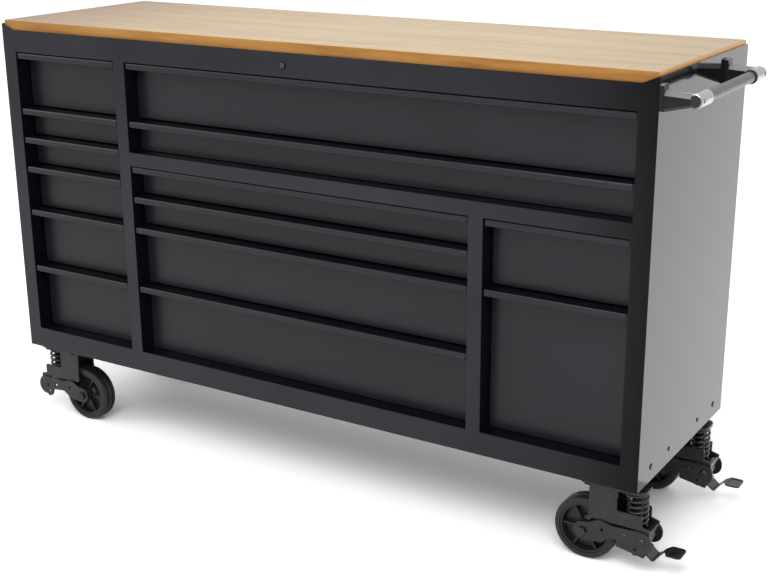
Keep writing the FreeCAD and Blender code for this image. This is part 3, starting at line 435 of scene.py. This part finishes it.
def board_edge(look, broad, streak):
    """Colour of the board's edge: warmer than the top, with knots, and redder on the right end."""
    warm = look.ramp(broad, (0.28, (0.34, 0.145, 0.037)), (0.50, (0.50, 0.265, 0.077)),
                     (0.74, (0.58, 0.370, 0.137)))
    colour = look.mix(board_knots(look), look.tinted(warm, streak), KNOT_BROWN)
    along = look.span(look.place_along("X"), EDGE_DEEPENS)
    colour = look.tinted(colour, look.ramp(along, (0.0, (0.88, 0.81, 0.70)), (1.0, (0.78, 0.65, 0.50))))
    is_end = look.span(look.normal_along("X"), BOARD_FACES_RIGHT)
    return look.mix(is_end, colour, END_GRAIN)


def wood_top(name):
    """Lacquered solid-wood board: staves along its length, fibres, darker streaks and a warmer edge."""
    look = Look(name)
    stave = look.calculate("SNAP", look.place_along("Y"), STAVE_WIDTH)
    place = place_in_staves(look, stave)
    broad = look.noise(6.0, rough=0.55, distortion=0.6, stretch=(0.5, 5.0, 5.0), place=place)
    fibre = look.noise(60.0, detail=5.0, rough=0.6, stretch=(0.25, 9.0, 9.0), place=place)
    pores = look.noise(300.0, detail=2.0, stretch=(0.12, 5.0, 5.0), place=place)
    streak = look.ramp(fibre, (0.35, (0.88, 0.84, 0.78)), (0.60, WHITE))
    is_top = look.span(look.normal_along("Z"), BOARD_FACES_UP)
    base = look.mix(is_top, board_edge(look, broad, streak), board_top(look, stave, broad, streak))
    look.set(Base_Color=base, IOR=1.5, Specular_IOR_Level=0.22)
    look.set(Roughness=look.span(fibre, NOISE_SPREAD, (0.26, 0.40)))
    look.bump((fibre, 0.10, 0.0004), (pores, 0.10, 0.0002))
    return look.material


# Which node has which look

LOOK_OF_SLOT = {
    "black_paint": painted_black("black_enamel", level=0.012, gloss=0.12, peel=0.30),
    "wood": wood_top("lacquered_board"),
    "zinc_steel": bare_metal("zinc_plate", tint=(0.30, 0.31, 0.32), gloss=0.35, grain=DRAWN_LENGTHWAYS),
    "lock_metal": bare_metal("dark_lock", tint=(0.022, 0.022, 0.024), gloss=0.30),
    "pin_steel": bare_metal("blackened_steel", tint=(0.075, 0.073, 0.075), gloss=0.34),
    # painted sheen on the upper and lower facets
    "black_casting": black_with_painted_sheen("black_casting"),
    # faces of the caps turned to the front made near black
    "silver_metal": bare_metal("satin_cap", tint=(0.42, 0.43, 0.45), gloss=0.27, dark_ends=True),
    "grey_tube": bare_metal("grey_tube", tint=(0.16, 0.165, 0.175), gloss=0.42, grain=DRAWN_LENGTHWAYS),
    "ring_plastic": moulded_plastic("ring_plastic", colour=(0.010, 0.010, 0.011), gloss=0.35),
    "black_screw": painted_black("black_screw", level=0.004, gloss=0.30, peel=0.30),
    "caster_black": cast_black("caster_black", level=0.012, gloss=0.24),
    "tyre": tyre_rubber("tyre_rubber"),
    "wheel_plastic": moulded_plastic("wheel_plastic", colour=(0.012, 0.012, 0.013), gloss=0.32),
    "spring_black": cast_black("spring_black", level=0.012, gloss=0.20),
}

# Nodes with a look of their own, by the start of their names
LOOK_OF_START = {
    # painted shade darkens its right end, and painted shadow its faces turned aside
    "front_frame": painted_black("frame_enamel", level=0.017, gloss=0.10, peel=0.30, right_share=0.15,
                                 shadow=WHOLE_SHADOW),
    "drawer_": painted_black("drawer_enamel", level=0.012, gloss=0.32, peel=0.45, shadow=LIP_SHADOW),
    "lock_cylinder": bare_metal("lock_plug", tint=(0.14, 0.14, 0.15), gloss=0.22),
    "side_panel_": painted_black("side_enamel", level=0.006, gloss=0.08, peel=0.20, ior=1.46),
}

SLOT_OF_NODE = {part["node"]: part["material_slot"] for part in frame["record"]["subparts"]}


def look_of(name):
    """Look of a node: its own where it has one, or else that of its slot."""
    for start, look in LOOK_OF_START.items():
        if name.startswith(start):
            return look
    return LOOK_OF_SLOT[SLOT_OF_NODE[name]]


def dress_nodes():
    """Gives every node its look."""
    for name, piece in nodes.items():
        piece.data.materials.clear()
        piece.data.materials.append(look_of(name))


dress_nodes()


# Stage

FLOOR_SIZE = 40.0
FLOOR_MIDDLE = (0, 6.0, 0)
FLOOR_DULL = (0.93, 0.93, 0.935)
FLOOR_BRIGHT = (0.955, 0.955, 0.955)
FLOOR_LIFT = 0.58
SOFT_SKY = 0.72
WHITE_SKY = 1.0


def add_floor():
    """White floor; the camera alone sees it brighter, so that it fades into the white surroundings."""
    bpy.ops.mesh.primitive_plane_add(size=FLOOR_SIZE, location=FLOOR_MIDDLE)
    floor = bpy.context.active_object
    floor.name = "floor"
    look = Look("pale_floor")
    cloud = look.noise(1.2, detail=3.0)
    look.set(Base_Color=look.ramp(cloud, (0.3, FLOOR_DULL), (0.7, FLOOR_BRIGHT)), Roughness=0.85)
    path = look.node("ShaderNodeLightPath")
    lift = look.node("ShaderNodeBsdfDiffuse")
    look.link(look.mix(path.outputs["Is Camera Ray"], BLACK, grey(FLOOR_LIFT)), lift.inputs["Color"])
    both = look.node("ShaderNodeAddShader")
    look.link(look.shader.outputs["BSDF"], both.inputs[0])
    look.link(lift.outputs["BSDF"], both.inputs[1])
    look.link(both.outputs["Shader"], look.tree.nodes["Material Output"].inputs["Surface"])
    floor.data.materials.append(look.material)


def add_world():
    """White surroundings for the camera and for mirror paths, softer light for the rest."""
    world = bpy.data.worlds.new("studio")
    bpy.context.scene.world = world
    world.use_nodes = True
    world.node_tree.nodes.clear()
    sky = NodeTree(world.node_tree)
    path = sky.node("ShaderNodeLightPath")
    mirrored = sky.calculate("MAXIMUM", path.outputs["Is Camera Ray"], path.outputs["Is Glossy Ray"])
    seen_white = sky.calculate("MAXIMUM", mirrored, path.outputs["Is Transmission Ray"])
    mixed = sky.node("ShaderNodeMixShader")
    sky.link(seen_white, mixed.inputs["Fac"])
    for strength, socket in zip((SOFT_SKY, WHITE_SKY), mixed.inputs[1:]):
        background = sky.node("ShaderNodeBackground")
        background.inputs["Color"].default_value = (*WHITE, 1)
        background.inputs["Strength"].default_value = strength
        sky.link(background.outputs["Background"], socket)
    out = sky.node("ShaderNodeOutputWorld")
    sky.link(mixed.outputs["Shader"], out.inputs["Surface"])


def add_light(name, place, target, size, power, only_glare=False):
    """Rectangular lamp at a place, facing a target; one for glare shows in reflections but lights nothing."""
    data = bpy.data.lights.new(name, "AREA")
    data.shape = "RECTANGLE"
    data.size, data.size_y = size
    data.energy = power
    lamp = bpy.data.objects.new(name, data)
    bpy.context.scene.collection.objects.link(lamp)
    lamp.location = place
    lamp.rotation_mode = "QUATERNION"
    lamp.rotation_quaternion = (Vector(target) - Vector(place)).to_track_quat("-Z", "Y")
    lamp.visible_camera = False
    lamp.visible_diffuse = not only_glare


# Camera

# Where it stands, in metres: right of the middle of the front frame, before its face, above the floor
CAMERA_TO_RIGHT = 1.532464
CAMERA_BEFORE = 2.0806
CAMERA_HEIGHT = 1.276889

# How it is turned, in radians: to the right, down, and about its own axis
CAMERA_YAW = -0.5602
CAMERA_PITCH = 0.3145
CAMERA_ROLL = 0.0074

# Focal length in pixels of an image of this width, and width of the sensor in millimetres
FOCAL_PIXELS = 1335.396
IMAGE_WIDTH = 768
SENSOR_WIDTH = 36.0


def camera_axes():
    """Directions to the right, up and back out of the image, from the camera's turns."""
    level = math.cos(CAMERA_PITCH)
    forward = Vector((math.sin(CAMERA_YAW) * level, math.cos(CAMERA_YAW) * level, -math.sin(CAMERA_PITCH)))
    right = Vector((math.cos(CAMERA_YAW), -math.sin(CAMERA_YAW), 0))
    down = forward.cross(right)
    across = right * math.cos(CAMERA_ROLL) + down * math.sin(CAMERA_ROLL)
    downward = down * math.cos(CAMERA_ROLL) - right * math.sin(CAMERA_ROLL)
    return across, -downward, -forward


def add_camera():
    """Camera that sees the cabinet as the photograph does, placed from the front frame."""
    low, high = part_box("front_frame")
    middle = (low[0] + high[0]) / 2
    place = (middle + CAMERA_TO_RIGHT, low[1] - CAMERA_BEFORE, CAMERA_HEIGHT)
    data = bpy.data.cameras.new("photo_camera")
    data.sensor_width = SENSOR_WIDTH
    data.lens = FOCAL_PIXELS / IMAGE_WIDTH * SENSOR_WIDTH
    camera = bpy.data.objects.new("photo_camera", data)
    bpy.context.scene.collection.objects.link(camera)
    camera.matrix_world = Matrix.Translation(place) @ Matrix(camera_axes()).transposed().to_4x4()
    bpy.context.scene.camera = camera


add_floor()
add_world()
add_light("key", place=(1.2, -2.6, 3.2), target=(0, 0, 0.4), size=(2.6, 2.0), power=64)
add_light("fill", place=(-3.0, -1.6, 2.2), target=(0, 0, 0.5), size=(2.0, 2.0), power=22)
add_light("overhead", place=(0.2, -0.5, 2.9), target=(0.2, -0.5, 0), size=(1.5, 1.0), power=38,
          only_glare=True)
add_light("side_glare", place=(3.0, 4.65, 0.012), target=(3.0, 4.65, 1.0), size=(7.0, 9.0), power=168,
          only_glare=True)
add_camera()

bpy.context.scene.view_settings.view_transform = "Standard"
